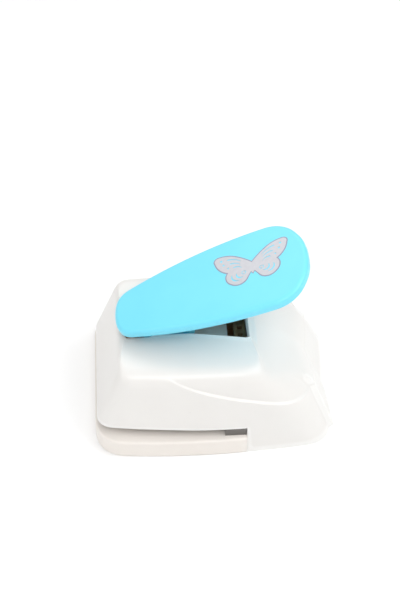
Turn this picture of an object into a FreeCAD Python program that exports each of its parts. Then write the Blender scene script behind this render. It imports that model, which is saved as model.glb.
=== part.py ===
import FreeCAD, Part
import math
import os
import re

import Sketcher

# Lever craft punch: a moulded base tray and housing with a paper slot between them, a steel die
# set that cuts a butterfly, and a lever that drives the punch down through the paper.
# Frame: +X along the body from the slot's open end to the closed end, +Z up, origin on the
# surface the punch stands on, below the middle of its bounding box.

SIZES = [
    # Body
    ("wall", 2.4),
    ("base_top", 9.5),
    ("housing_edge", 13.9),
    ("shoulder_level", 27.0),
    ("plateau", 43.0),
    ("slot_end", 13.0),
    ("joint_gap", 0.15),
    # Housing outline at the floor, the shoulder and the plateau
    ("low_left", 57.3), ("low_corner", 34.5), ("low_turn", 40.0), ("low_side", 37.4),
    ("low_cheek", 27.0), ("low_cheek_x", 50.96),
    ("mid_left", 47.1), ("mid_corner", 32.6), ("mid_turn", 20.0), ("mid_side", 34.6),
    ("mid_cheek", 20.0), ("mid_cheek_x", 39.5),
    ("top_left", 42.5), ("top_corner", 31.7), ("top_turn", 11.0), ("top_side", 32.6),
    ("top_cheek", 26.0), ("top_cheek_x", 22.0),
    ("low_side_radius", 300.0), ("mid_side_radius", 450.0), ("top_side_radius", 700.0),
    ("low_turn_radius", 16.0), ("mid_turn_radius", 30.0),
    ("top_turn_radius", 7.0), ("end_radius", 180.0), ("mid_end_radius", 90.0),
    ("top_end_radius", 900.0),
    ("plateau_round", 4.0), ("corner_round", 7.0),
    # Base outline
    ("base_left", 53.0), ("base_corner", 37.4), ("base_side", 37.4), ("base_side_radius", 350.0),
    ("base_round", 13.0), ("base_edge", 1.0),
    # Well in the housing's top
    ("well_left", 39.2), ("well_wide", 7.5), ("well_step", 28.0), ("well_neck", 6.4),
    ("well_flare", 10.0), ("well_right", 15.6), ("well_mouth", 10.5),
    # Die set
    ("die_centre", -20.5),
    ("motif_span", 46.0),
    ("die_left", -48.0), ("die_right", 12.0), ("die_half", 27.0), ("die_bottom", 6.5),
    ("guide_bottom", 11.2), ("guide_top", 14.2), ("guide_left", -45.0), ("guide_half", 29.2),
    ("die_clearance", 0.08),
    ("throat_left", 3.5), ("throat_right", 12.7), ("throat_half", 37.4), ("throat_ear", 13.6),
    # Moving ram
    ("punch_bottom", 13.2), ("ram_bottom", 25.0), ("ram_top", 28.0), ("pad_top", 31.4),
    ("ram_left", 21.5), ("ram_half", 19.0),
    ("post_radius", 2.0), ("post_top", 33.0), ("post_clearance", 0.06),
    ("post_side", 14.5), ("post_out", 18.3), ("post_back", 14.0),
    ("bridge_level", 29.8), ("bridge_right", 7.1),
    ("spring_radius", 3.3), ("spring_wire", 0.8), ("spring_turns", 4.0),
    # Pivot and lever
    ("pivot_x", -35.0), ("pivot_z", 45.2), ("pin_radius", 1.6), ("pin_half", 8.3),
    ("pin_clearance", 0.05),
    ("lug_radius", 2.8), ("sheet", 1.6), ("lug_inner", 5.3), ("leg_inner", 21.0),
    ("shelf", 34.0), ("stand_right", 15.4),
    ("hub_radius", 2.9), ("hub_half", 5.0),
    ("lever_rest", 22.0), ("lever_stroke", 24.0), ("nose_arm", 14.5), ("nose_gap", 0.35),
    ("cap_top", 7.2), ("cap_depth", 4.2), ("cap_wall", 2.0),
    ("cap_heel_x", 0.5), ("cap_heel", 12.5), ("cap_heel_radius", 16.75),
    ("cap_wide_x", 66.0), ("cap_wide", 23.1), ("cap_side_radius", 205.0),
    ("cap_tip_x", 78.5), ("cap_tip", 16.0), ("cap_corner_radius", 14.5),
    ("cap_end_radius", 28.6), ("cap_edge_round", 1.4),
    ("stem_half", 4.4), ("stem_web", 1.5),
    ("mark_x", 58.9), ("mark_y", 1.5), ("mark_scale", 0.7), ("mark_thick", 0.3),
    # Screws
    ("screw_radius", 1.25), ("screw_clearance", 0.1), ("screw_head", 2.3), ("head_height", 1.4),
    ("socket_radius", 0.9), ("socket_depth", 0.9),
    ("boss_radius", 4.0),
]

DOC = FreeCAD.newDocument("CraftPunch")
SHEET = DOC.addObject("Spreadsheet::Sheet", "Sizes")
for row, (alias, number) in enumerate(SIZES, start=1):
    SHEET.set(f"A{row}", alias)
    SHEET.set(f"B{row}", str(number))
    SHEET.setAlias(f"B{row}", alias)
DOC.recompute()

NODES = []
WORD = re.compile(r"[a-z][a-z_]*[a-z]")


def vec(x, y, z=0.0):
    return FreeCAD.Vector(x, y, z)


def bound(text):
    """An expression on the sheet's cells, from their bare names."""
    return WORD.sub(lambda match: "Sizes." + match.group(), str(text))


def value(text):
    """The number an expression on the sheet's cells gives."""
    return float(SHEET.evalExpression(bound(text)))


def subpart(obj, name):
    """Give an object its node name and list it for writing."""
    obj.Label = name
    NODES.append(obj)
    return obj


# ---------------------------------------------------------------- sketches and features

def new_body(name):
    body = DOC.addObject("PartDesign::Body", name)
    return subpart(body, name)


def new_sketch(body, role, level="0"):
    """A sketch on one of the body's own origin planes, offset along its normal by level."""
    plane = next(p for p in body.Origin.OriginFeatures if p.Role == role)
    sketch = body.newObject("Sketcher::SketchObject", f"{body.Name}_sketch")
    sketch.AttachmentSupport = [(plane, "")]
    sketch.MapMode = "FlatFace"
    sketch.setExpression(".AttachmentOffset.Base.z", bound(level))
    return sketch


def pin_point(sketch, geo, pos, x, y):
    """Fix a sketch point at (x, y), each bound to the sheet."""
    for kind, text in (("DistanceX", x), ("DistanceY", y)):
        index = sketch.addConstraint(Sketcher.Constraint(kind, -1, 1, geo, pos, value(text)))
        sketch.setExpression(f"Constraints[{index}]", bound(text))


def arc_between(start, end, radius):
    """The short arc from start to end that bulges to the right of that direction."""
    chord = end - start
    half = chord.Length / 2
    depth = math.sqrt(max(radius * radius - half * half, 0.0))
    side = vec(chord.y, -chord.x).normalize()
    middle = (start + end) * 0.5 + side * (radius - depth)
    return Part.Arc(start, middle, end)


def trace(sketch, corners):
    """Close an outline through corners, each (x, y, radius to the next or None for a line)."""
    places = [vec(value(x), value(y)) for x, y, _ in corners]
    for index, (x, y, radius) in enumerate(corners):
        start, end = places[index], places[(index + 1) % len(places)]
        if radius is None:
            geo = sketch.addGeometry(Part.LineSegment(start, end), False)
            pin_point(sketch, geo, 1, x, y)
            continue
        arc = arc_between(start, end, value(radius))
        geo = sketch.addGeometry(arc, False)
        curve = sketch.Geometry[geo]
        first = 1 if (curve.StartPoint - start).Length < 1e-6 else 2
        pin_point(sketch, geo, first, x, y)
    count = len(corners)
    for index in range(count):
        here, there = sketch.Geometry[index], sketch.Geometry[(index + 1) % count]
        meeting = places[(index + 1) % count]
        last = 2 if (here.EndPoint - meeting).Length < 1e-6 else 1
        first = 1 if (there.StartPoint - meeting).Length < 1e-6 else 2
        sketch.addConstraint(
            Sketcher.Constraint("Coincident", index, last, (index + 1) % count, first))
    for index, (_, _, radius) in enumerate(corners):
        if radius is not None:
            label = sketch.addConstraint(Sketcher.Constraint("Radius", index, value(radius)))
            sketch.setExpression(f"Constraints[{label}]", bound(radius))
    return sketch


def rectangle(sketch, left, bottom, right, top):
    return trace(sketch, [(left, bottom, None), (right, bottom, None),
                          (right, top, None), (left, top, None)])


def circle(sketch, x, y, radius):
    geo = sketch.addGeometry(Part.Circle(vec(value(x), value(y)), vec(0, 0, 1), value(radius)))
    pin_point(sketch, geo, 3, x, y)
    index = sketch.addConstraint(Sketcher.Constraint("Radius", geo, value(radius)))
    sketch.setExpression(f"Constraints[{index}]", bound(radius))
    return sketch


def volume(body):
    DOC.recompute()
    return body.Shape.Volume


def extrude(body, kind, sketch, length, both=False, back=False):
    """Pad or pocket a sketch; the volume shows that it did something."""
    before = 0.0 if body.Tip is None else volume(body)
    feature = body.newObject(f"PartDesign::{kind}", f"{body.Name}_{kind.lower()}")
    feature.Profile = sketch
    feature.setExpression("Length", bound(length))
    if both:
        feature.SideType = "Symmetric"
    feature.Reversed = back
    sketch.Visibility = False
    after = volume(body)
    grew = after > before + 1e-4
    if grew != (kind == "Pad") or abs(after - before) < 1e-4:
        raise RuntimeError(f"{body.Label}: {kind} of {sketch.Name} did nothing")
    return feature


def pad(body, sketch, length, both=False, back=False):
    return extrude(body, "Pad", sketch, length, both, back)


def pocket(body, sketch, length, both=False, back=False):
    return extrude(body, "Pocket", sketch, length, both, back)


def loft(body, kind, sketches):
    feature = body.newObject(f"PartDesign::{kind}", f"{body.Name}_{kind.lower()}")
    feature.Profile = sketches[0]
    feature.Sections = sketches[1:]
    feature.Ruled = True
    DOC.recompute()
    return feature


def round_edges(body, wanted, radius):
    """Fillet the edges of the body's tip that wanted(edge) picks."""
    DOC.recompute()
    tip = body.Tip
    names = [f"Edge{i}" for i, edge in enumerate(tip.Shape.Edges, start=1) if wanted(edge)]
    feature = body.newObject("PartDesign::Fillet", f"{body.Name}_fillet")
    feature.Base = (tip, names)
    feature.setExpression("Radius", bound(radius))
    DOC.recompute()
    if not names or "Invalid" in feature.State or feature.Shape.isNull():
        raise RuntimeError(f"{body.Label}: fillet {radius} failed on {len(names)} edges")
    return feature


# ---------------------------------------------------------------- primitives and booleans

def place(obj, x, y, z, axis=None, angle=0.0):
    rotation = FreeCAD.Rotation(axis, angle) if axis else FreeCAD.Rotation()
    obj.Placement = FreeCAD.Placement(vec(0, 0, 0), rotation)
    for letter, text in zip("xyz", (x, y, z)):
        obj.setExpression(f".Placement.Base.{letter}", bound(text))
    return obj


def cylinder(name, x, y, z, radius, height):
    obj = DOC.addObject("Part::Cylinder", name)
    obj.setExpression("Radius", bound(radius))
    obj.setExpression("Height", bound(height))
    return place(obj, x, y, z)


def prism(name, x, y, z, radius, height):
    obj = DOC.addObject("Part::Prism", name)
    obj.Polygon = 6
    obj.setExpression("Circumradius", bound(radius))
    obj.setExpression("Height", bound(height))
    return place(obj, x, y, z)


def rod(name, x, y, z, radius, height):
    """A cylinder along +Y."""
    obj = DOC.addObject("Part::Cylinder", name)
    obj.setExpression("Radius", bound(radius))
    obj.setExpression("Height", bound(height))
    return place(obj, x, y, z, vec(1, 0, 0), -90)


def box(name, low, high):
    obj = DOC.addObject("Part::Box", name)
    for side, a, b in zip(("Length", "Width", "Height"), low, high):
        obj.setExpression(side, bound(f"({b}) - ({a})"))
    return place(obj, *low)


def fuse(name, shapes):
    obj = DOC.addObject("Part::MultiFuse", name)
    obj.Shapes = shapes
    return obj


def cut(name, base, tools):
    obj = DOC.addObject("Part::Cut", name)
    obj.Base = base
    obj.Tool = tools[0] if len(tools) == 1 else fuse(f"{name}_tools", tools)
    return obj


def group(name, shapes):
    obj = DOC.addObject("Part::Compound", name)
    obj.Links = shapes
    return subpart(obj, name)


def screw(name, x, y, head, tip, up=True):
    """A socket screw: its head's outer face is at level head, its shank ends at level tip."""
    if up:
        bottom, shank, height = f"({head}) - head_height", tip, f"({head}) - ({tip})"
        socket = f"({head}) - socket_depth"
    else:
        bottom, shank, height = head, head, f"({tip}) - ({head})"
        socket = head
    parts = [cylinder(f"{name}_head", x, y, bottom, "screw_head", "head_height"),
             cylinder(f"{name}_shank", x, y, shank, "screw_radius", height)]
    drive = prism(f"{name}_drive", x, y, socket, "socket_radius", "socket_depth")
    return cut(name, fuse(f"{name}_solid", parts), [drive])


# ---------------------------------------------------------------- the butterfly

# Half of the butterfly for a span of 46, from the antenna notch round to the tail. Each row is
# a corner and the point its arc to the next corner passes through, or None for a straight line.
WING = [
    ((0.0, 3.5), (4.9, 8.3)),
    ((9.6, 12.0), (15.3, 14.8)),
    ((21.0, 15.6), (22.9, 14.4)),
    ((23.0, 11.6), (20.6, 5.4)),
    ((15.4, 0.7), (16.9, -4.4)),
    ((14.1, -9.2), (9.4, -11.2)),
    ((4.6, -8.8), None),
    ((1.2, -3.6), None),
    ((0.0, -5.5), None),
]
WING_SLOTS = [((6.7, 7.3), (15.3, 11.7)), ((7.2, 4.7), (13.8, 7.6)), ((6.7, 1.7), (12.0, 3.7))]
WING_DOTS = [(19.1, 12.1, 0.8), (17.9, 8.3, 0.7), (15.2, 4.5, 0.6), (5.7, -2.9, 1.5)]
WING_CURLS = [((10.1, -1.9), (10.0, -4.9), (6.3, -5.8)), ((13.2, -2.2), (12.8, -6.4), (9.0, -8.1))]
SLOT_NARROW = 0.3
SLOT_WIDE = 0.8
CURL_HALF = 0.45
STANDARD_SPAN = 46.0


def flipped(point, side, scale):
    return vec(point[0] * side * scale, point[1] * scale)


def motif_outline(sketch, scale, centre, grow=0.0):
    """The outline as one closed chain of arcs and lines, grown outwards by grow."""
    edges = []
    for side in (1, -1):
        for index, (corner, via) in enumerate(WING[:-1]):
            start = flipped(corner, side, scale) + centre
            end = flipped(WING[index + 1][0], side, scale) + centre
            if via is None:
                edges.append(Part.LineSegment(start, end))
            else:
                edges.append(Part.Arc(start, flipped(via, side, scale) + centre, end))
    wire = Part.Wire(Part.__sortEdges__([edge.toShape() for edge in edges]))
    if grow:
        wire = wire.makeOffset2D(grow)
    for edge in wire.Edges:
        sketch.addGeometry(sketch_curve(edge), False)
    return sketch


def sketch_curve(edge):
    """An edge's trimmed line or arc, as a sketch holds it."""
    curve = edge.Curve
    ends = [edge.valueAt(edge.FirstParameter), edge.valueAt(edge.LastParameter)]
    if isinstance(curve, Part.Line):
        return Part.LineSegment(*ends)
    middle = edge.valueAt((edge.FirstParameter + edge.LastParameter) / 2)
    return Part.Arc(ends[0], middle, ends[1])


def motif_details(sketch, scale, centre):
    """The slots, dots and curls inside the wings."""
    for side in (1, -1):
        for inner, outer in WING_SLOTS:
            start = flipped(inner, side, scale) + centre
            end = flipped(outer, side, scale) + centre
            along = (end - start).normalize()
            across = vec(-along.y, along.x)
            narrow, wide = across * SLOT_NARROW * scale, across * SLOT_WIDE * scale
            tip = end + along * SLOT_WIDE * scale
            close_chain(sketch, [(start + narrow, None), (end + wide, tip), (end - wide, None),
                                 (start - narrow, None)])
        for x, y, radius in WING_DOTS:
            middle = flipped((x, y), side, scale) + centre
            sketch.addGeometry(Part.Circle(middle, vec(0, 0, 1), radius * scale))
        for first, via, last in WING_CURLS:
            curl(sketch, *(flipped(p, side, scale) + centre for p in (first, via, last)), scale)
    return sketch


def close_chain(sketch, corners):
    for index, (start, via) in enumerate(corners):
        end = corners[(index + 1) % len(corners)][0]
        edge = Part.LineSegment(start, end) if via is None else Part.Arc(start, via, end)
        sketch.addGeometry(edge, False)


def curl(sketch, first, via, last, scale):
    """A thin curved slot along an arc through three points."""
    centre = Part.Arc(first, via, last).toShape().Curve.Center
    half = CURL_HALF * scale

    def moved(point, step):
        return point + (point - centre).normalize() * step

    close_chain(sketch, [(moved(first, half), moved(via, half)), (moved(last, half), None),
                         (moved(last, -half), moved(via, -half)), (moved(first, -half), None)])


# ---------------------------------------------------------------- housing and base

def housing_section(body, level, key, inset, turn_radius, end_radius):
    """The housing's outline at one level, moved in by inset."""
    left = f"-({key}_left - {inset})"
    corner = f"({key}_corner - {inset})"
    turn, side = f"{key}_turn", f"({key}_side - {inset})"
    cheek_x, cheek = f"({key}_cheek_x - {inset})", f"({key}_cheek)"
    rows = [
        (f"{left} + corner_round", f"-{corner}", f"{key}_side_radius"),
        (turn, f"-{side}", turn_radius),
        (cheek_x, f"-{cheek}", end_radius),
        (cheek_x, cheek, turn_radius),
        (turn, side, f"{key}_side_radius"),
        (f"{left} + corner_round", corner, "corner_round"),
        (left, f"{corner} - corner_round", None),
        (left, f"-({corner} - corner_round)", "corner_round"),
    ]
    return trace(new_sketch(body, "XY_Plane", level), rows)


def housing_solid(body, kind, inset, bottom, top):
    """The housing's form between two levels, with its upper edge rounded in two steps."""
    levels = [
        (bottom, "low", inset, "low_turn_radius", "end_radius"),
        (f"shoulder_level - {inset}", "mid", inset, "mid_turn_radius", "mid_end_radius"),
        (f"{top} - plateau_round", "top", inset, "top_turn_radius", "top_end_radius"),
        (f"{top} - 0.3 * plateau_round", "top", f"({inset} + 0.3 * plateau_round)",
         "top_turn_radius", "top_end_radius"),
        (top, "top", f"({inset} + plateau_round)", "top_turn_radius", "top_end_radius"),
    ]
    sections = [housing_section(body, level, key, step, turn, end)
                for level, key, step, turn, end in levels]
    return loft(body, kind, sections)


def upper_housing():
    body = new_body("upper_housing")
    housing_solid(body, "AdditiveLoft", "0", "0", "plateau")
    housing_solid(body, "SubtractiveLoft", "wall", "-1", "plateau - wall")
    mouth = rectangle(new_sketch(body, "XZ_Plane"),
                      "-low_left - 5", "-1", "slot_end", "housing_edge")
    pocket(body, mouth, "200", both=True)
    pocket(body, well_outline(body, "plateau + 1"), "wall + 3")
    for x, y, low, high, reach in POSTS:
        for side in ("", "-"):
            sketch = circle(new_sketch(body, "XY_Plane", low), x, f"{side}({y})", "boss_radius")
            pad(body, sketch, f"{high} - ({low})")
            ends = sorted([f"{side}({y})", f"{side}({y} + {reach})"], key=value)
            rib = rectangle(new_sketch(body, "XY_Plane", low), f"{x} - 1", ends[0],
                            f"{x} + 1", ends[1])
            pad(body, rib, f"{high} - ({low})")
            hole = circle(new_sketch(body, "XY_Plane", low), x, f"{side}({y})",
                          "screw_radius + 0.02")
            pocket(body, hole, "8", back=True)


# Screw posts inside the housing: x, distance from the middle, lower end, upper end, and the
# reach of the rib that ties the post to the side wall
POSTS = [
    ("26", "29.5", "base_top + joint_gap", "20", "5.5"),
    ("37.5", "18.5", "base_top + joint_gap", "20", "9"),
    ("-8", "25.5", "guide_top", "22", "9"),
]


def well_outline(body, level):
    rows = [
        ("-well_left", "-well_wide", None), ("-well_step", "-well_wide", None),
        ("-well_step + 3", "-well_neck", None), ("-well_flare", "-well_neck", None),
        ("well_right", "-well_mouth", None), ("well_right", "well_mouth", None),
        ("-well_flare", "well_neck", None), ("-well_step + 3", "well_neck", None),
        ("-well_step", "well_wide", None), ("-well_left", "well_wide", None),
    ]
    return trace(new_sketch(body, "XY_Plane", level), rows)


def base_outline(body, level, inset, left, right_inset):
    """The tray's outline: bowed sides, a straight left end and a bowed right end."""
    rows = [
        (left, f"-(base_corner - {inset})", "base_side_radius"),
        (f"low_cheek_x - {right_inset}", f"-(low_cheek + 8.6 - {right_inset})", "end_radius"),
        (f"low_cheek_x - {right_inset}", f"low_cheek + 8.6 - {right_inset}",
         "base_side_radius"),
        (left, f"base_corner - {inset}", None),
    ]
    return trace(new_sketch(body, "XY_Plane", level), rows)


def base_tray():
    body = new_body("base_tray")
    pad(body, base_outline(body, "0", "0", "-base_left", "0"), "base_top")
    round_edges(body, lambda e: e.BoundBox.ZLength > 5 and e.BoundBox.XMax < 0, "base_round")
    round_edges(body, lambda e: e.BoundBox.ZLength < 0.01, "base_edge")
    split = rectangle(new_sketch(body, "XY_Plane"), "slot_end - joint_gap", "-60", "70", "60")
    pocket(body, split, "base_top + 1", back=True)
    inner = [
        ("slot_end - 1", "-(base_side - wall - 0.6)", None),
        ("low_cheek_x - 17", "-(base_side - wall - 3)", None),
        ("low_cheek_x - wall - 5.4", "-(low_cheek - 6)", None),
        ("low_cheek_x - wall - 5.4", "low_cheek - 6", None),
        ("low_cheek_x - 17", "base_side - wall - 3", None),
        ("slot_end - 1", "base_side - wall - 0.6", None),
    ]
    pad(body, trace(new_sketch(body, "XY_Plane"), inner), "base_top")
    hollow = [
        ("-base_left + wall", "-22", None), ("-base_left + 12", "-33", None),
        ("-20", "-36.2", None), ("12", "-32.4", None), ("32.5", "-29.8", None),
        ("41", "-20", None), ("41", "20", None), ("32.5", "29.8", None), ("12", "32.4", None),
        ("-20", "36.2", None), ("-base_left + 12", "33", None), ("-base_left + wall", "22", None),
    ]
    pocket(body, trace(new_sketch(body, "XY_Plane"), hollow), "base_top - wall", back=True)
    seat = rectangle(new_sketch(body, "XY_Plane", "die_bottom - 2.5"), "die_left - 2",
                     "-die_half - 2", "slot_end + 1", "die_half + 2")
    pad(body, seat, "base_top - die_bottom + 2.5")
    walls = rectangle(new_sketch(body, "XY_Plane"), "-47", "-20", "7.5", "20")
    pad(body, walls, "die_bottom - 2")
    for x, y, *_ in POSTS[:2]:
        for side in ("", "-"):
            boss = circle(new_sketch(body, "XY_Plane", "1.2"), x, f"{side}({y})", "boss_radius")
            pad(body, boss, "base_top - 1.2")
    window = rectangle(new_sketch(body, "XY_Plane"), "-45.2", "-18", "5.7", "18")
    pocket(body, window, "base_top + 1", back=True)
    recess = rectangle(new_sketch(body, "XY_Plane", "base_top + 1"), "die_left - 0.1",
                       "-die_half - 0.1", "die_right + 0.1", "die_half + 0.1")
    pocket(body, recess, "base_top + 1 - die_bottom")
    for x, y, *_ in POSTS[:2]:
        for side in ("", "-"):
            hole = circle(new_sketch(body, "XY_Plane"), x, f"{side}({y})",
                          "screw_radius + screw_clearance")
            pocket(body, hole, "base_top + 1", back=True)
            bore = circle(new_sketch(body, "XY_Plane"), x, f"{side}({y})",
                          "screw_head + screw_clearance")
            pocket(body, bore, "1.2 + head_height", back=True)
    for x, y in DIE_SCREWS:
        hole = circle(new_sketch(body, "XY_Plane", "die_bottom + 0.1"), x, y,
                      "screw_radius + 0.02")
        pocket(body, hole, "2.1")


DIE_SCREWS = [("-42", "-22.5"), ("-42", "22.5"), ("-1", "-22.5"), ("-1", "22.5")]
THROAT_SCREWS = [("8", "-32.5"), ("8", "-12"), ("8", "12"), ("8", "32.5")]
BRACKET_X = ("pivot_x - 2.6", "pivot_x + 2.6")
RAM_SCREWS = [("die_centre - 15", "8.5"), ("die_centre - 11", "-5"),
              ("die_centre + 11", "-5"), ("die_centre + 15", "8.5")]
PAD_SCREWS = [("die_centre - 3.2", "0"), ("die_centre + 4.6", "0")]
GUIDE_POSTS = [
    ("die_centre", "post_side"),
    ("die_centre", "-post_side"),
    ("die_centre - post_out", "-post_back"),
    ("die_centre + post_out", "-post_back"),
]


# ---------------------------------------------------------------- die set

def plate(name, left, half, low, right, high):
    """A flat steel plate, centred on Y."""
    body = new_body(name)
    sketch = rectangle(new_sketch(body, "XY_Plane", low), left, f"-({half})", right, half)
    pad(body, sketch, f"{high} - ({low})")
    return body


def round_holes(body, places, level, radius, depth):
    for x, y in places:
        pocket(body, circle(new_sketch(body, "XY_Plane", level), x, y, radius), depth)


def motif_hole(body, level, depth, grow):
    sketch = new_sketch(body, "XY_Plane", level)
    motif_outline(sketch, value("motif_span") / STANDARD_SPAN, vec(value("die_centre"), 0), grow)
    pocket(body, sketch, depth)


def die_plate():
    body = plate("die_plate", "die_left", "die_half", "die_bottom", "die_right", "base_top")
    motif_hole(body, "base_top", "base_top - die_bottom", value("die_clearance"))
    clear = "screw_radius + screw_clearance"
    round_holes(body, DIE_SCREWS, "base_top", clear, "base_top - die_bottom")
    round_holes(body, DIE_SCREWS, "base_top", "screw_head + screw_clearance", "head_height")
    inner = [p for p in THROAT_SCREWS if abs(value(p[1])) < value("die_half")]
    round_holes(body, inner, "base_top", "screw_radius + 0.02", "base_top - die_bottom")


def guide_plate():
    body = plate("guide_plate", "guide_left", "guide_half", "guide_bottom", "throat_right",
                 "guide_top")
    motif_hole(body, "guide_top", "guide_top - guide_bottom", value("die_clearance"))
    round_holes(body, GUIDE_POSTS, "guide_top", "post_radius + 0.02", "guide_top - guide_bottom")
    clear = "screw_radius + screw_clearance"
    inner = [p for p in THROAT_SCREWS if abs(value(p[1])) < value("guide_half")]
    round_holes(body, inner, "guide_top", clear, "guide_top - guide_bottom")
    posts = [(POSTS[2][0], side + POSTS[2][1]) for side in ("", "-")]
    round_holes(body, posts, "guide_top", clear, "guide_top - guide_bottom")
    round_holes(body, posts, "guide_bottom + head_height", "screw_head + screw_clearance",
                "head_height")
    round_holes(body, bracket_rivets(), "guide_top", "1.02", "guide_top - guide_bottom")


def throat_block():
    """The spacer between the plates; the paper stops against it."""
    body = new_body("throat_block")
    sketch = rectangle(new_sketch(body, "XY_Plane", "base_top"), "throat_left", "-throat_half",
                       "throat_right", "throat_half")
    pad(body, sketch, "guide_bottom - base_top")
    for side in (1, -1):
        rows = sorted([f"{side} * (guide_half + 0.15)", f"{side} * throat_half"], key=value)
        ear = rectangle(new_sketch(body, "XY_Plane", "base_top"), "throat_left", rows[0],
                        "throat_right", rows[1])
        pad(body, ear, "throat_ear - base_top")
    round_holes(body, THROAT_SCREWS, "throat_ear", "screw_radius + screw_clearance",
                "throat_ear - base_top")


def throat_screws():
    inner = [p for p in THROAT_SCREWS if abs(value(p[1])) < value("die_half")]
    group("throat_screws", [
        screw(f"throat_screw_{i}", x, y, "guide_top + sheet + head_height", "die_bottom + 0.2")
        for i, (x, y) in enumerate(inner)])


def die_screws():
    group("die_screws", [screw(f"die_screw_{i}", x, y, "base_top", "die_bottom - 1.7")
                         for i, (x, y) in enumerate(DIE_SCREWS)])


def housing_screws():
    """The long screws up through the tray, and two short ones up through the guide plate."""
    screws = []
    for index, (x, y, low, *_) in enumerate(POSTS):
        for side in ("", "-"):
            head = "1.2" if index < 2 else "guide_bottom"
            screws.append(screw(f"housing_screw_{len(screws)}", x, side + y, head,
                                f"{low} + 6.5", up=False))
    group("housing_screws", screws)


# ---------------------------------------------------------------- ram

def punch_block():
    """The hardened punch: the butterfly's outline, with its details sunk in the cutting face."""
    body = new_body("punch_block")
    scale = value("motif_span") / STANDARD_SPAN
    centre = vec(value("die_centre"), 0)
    sketch = motif_outline(new_sketch(body, "XY_Plane", "punch_bottom"), scale, centre)
    pad(body, sketch, "ram_bottom - punch_bottom")
    details = motif_details(new_sketch(body, "XY_Plane", "punch_bottom"), scale, centre)
    pocket(body, details, "3", back=True)
    round_holes(body, RAM_SCREWS, "ram_bottom", "screw_radius + 0.02", "6")


def ram_plate():
    body = plate("ram_plate", "die_centre - ram_left", "ram_half", "ram_bottom",
                 "die_centre + ram_left", "ram_top")
    round_edges(body, lambda e: e.BoundBox.ZLength > 1, "4")
    round_holes(body, GUIDE_POSTS, "ram_top", "post_radius + post_clearance",
                "ram_top - ram_bottom")
    round_holes(body, RAM_SCREWS, "ram_top", "screw_radius + screw_clearance",
                "ram_top - ram_bottom")
    round_holes(body, PAD_SCREWS, "ram_top", "screw_radius + 0.02", "2.6")


def press_pad():
    """The block the lever's nose bears on."""
    body = new_body("press_pad")
    sketch = rectangle(new_sketch(body, "XY_Plane", "ram_top"), "die_centre - 6", "-6.5",
                       "die_centre + 8", "6.5")
    pad(body, sketch, "pad_top - ram_top")
    round_edges(body, lambda e: e.BoundBox.ZLength > 1, "1.5")
    round_holes(body, PAD_SCREWS, "pad_top", "screw_radius + screw_clearance",
                "pad_top - ram_top")
    round_holes(body, PAD_SCREWS, "pad_top", "screw_head + screw_clearance", "head_height + 0.4")


def ram_screws():
    group("ram_screws", [screw(f"ram_screw_{i}", x, y, "ram_top + head_height", "ram_top - 7.5")
                         for i, (x, y) in enumerate(RAM_SCREWS)])
    group("pad_screws", [screw(f"pad_screw_{i}", x, y, "pad_top - 0.4", "ram_top - 2.4")
                         for i, (x, y) in enumerate(PAD_SCREWS)])


def guide_posts():
    for index, (x, y) in enumerate(GUIDE_POSTS, start=1):
        post = cylinder(f"guide_post_{index}", x, y, "guide_bottom", "post_radius",
                        "post_top - guide_bottom")
        subpart(post, f"guide_post_{index}")


def return_springs():
    for index, (x, y) in enumerate(GUIDE_POSTS, start=1):
        body = new_body(f"return_spring_{index}")
        sketch = circle(new_sketch(body, "XZ_Plane"), "spring_radius", "0", "spring_wire / 2")
        helix = body.newObject("PartDesign::AdditiveHelix", f"{body.Name}_coil")
        helix.Profile = sketch
        helix.ReferenceAxis = (sketch, ["V_Axis"])
        helix.Mode = 0
        height = "(ram_bottom - guide_top - spring_wire - 0.1)"
        helix.setExpression("Pitch", bound(f"{height} / spring_turns"))
        helix.setExpression("Height", bound(height))
        DOC.recompute()
        place(body, x, y, "guide_top + spring_wire / 2 + 0.05")


# ---------------------------------------------------------------- frame and pivot

def bracket_rivets():
    return [(x, f"{side} * (leg_inner + 4)") for x in BRACKET_X for side in (1, -1)]


def pivot_bracket(name, side):
    """A bent steel bracket: foot on the guide plate, leg, shelf over the ram, and pivot lug."""
    body = new_body(name)
    sketch = new_sketch(body, "YZ_Plane", "pivot_x - 5")
    rows = [
        ("leg_inner + 6.5", "guide_top"), ("leg_inner + 6.5", "guide_top + sheet"),
        ("leg_inner + sheet", "guide_top + sheet"), ("leg_inner + sheet", "shelf + sheet"),
        ("lug_inner + sheet", "shelf + sheet"), ("lug_inner + sheet", "pivot_z + lug_radius"),
        ("lug_inner", "pivot_z + lug_radius"), ("lug_inner", "shelf"),
        ("leg_inner", "shelf"), ("leg_inner", "guide_top"),
    ]
    trace(sketch, [(f"{side} * ({y})", z, None) for y, z in rows])
    pad(body, sketch, "10")
    for step in (-1, 1):
        spare = sorted([f"pivot_x + {step} * lug_radius", f"pivot_x + {step} * 6"], key=value)
        trim = rectangle(new_sketch(body, "XZ_Plane"), spare[0], "shelf + sheet + 0.1", spare[1], "50")
        pocket(body, trim, "100", both=True)
    round_edges(body, lambda e: e.BoundBox.ZMin > value("pivot_z + lug_radius") - 0.01
                and e.BoundBox.XLength < 0.01, "lug_radius - 0.2")
    hole = circle(new_sketch(body, "XZ_Plane"), "pivot_x", "pivot_z", "pin_radius + 0.02")
    pocket(body, hole, "100", both=True)
    places = [p for p in bracket_rivets() if value(p[1]) * side > 0]
    round_holes(body, places, "guide_top + sheet", "1.02", "sheet")


def rivets():
    shapes = []
    for index, (x, y) in enumerate(bracket_rivets()):
        shank = cylinder(f"rivet_shank_{index}", x, y, "guide_bottom + 0.1", "1",
                         "guide_top + sheet - guide_bottom - 0.1")
        head = cylinder(f"rivet_head_{index}", x, y, "guide_top + sheet", "1.9", "0.9")
        shapes.append(fuse(f"rivet_{index}", [shank, head]))
    group("bracket_rivets", shapes)


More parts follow.
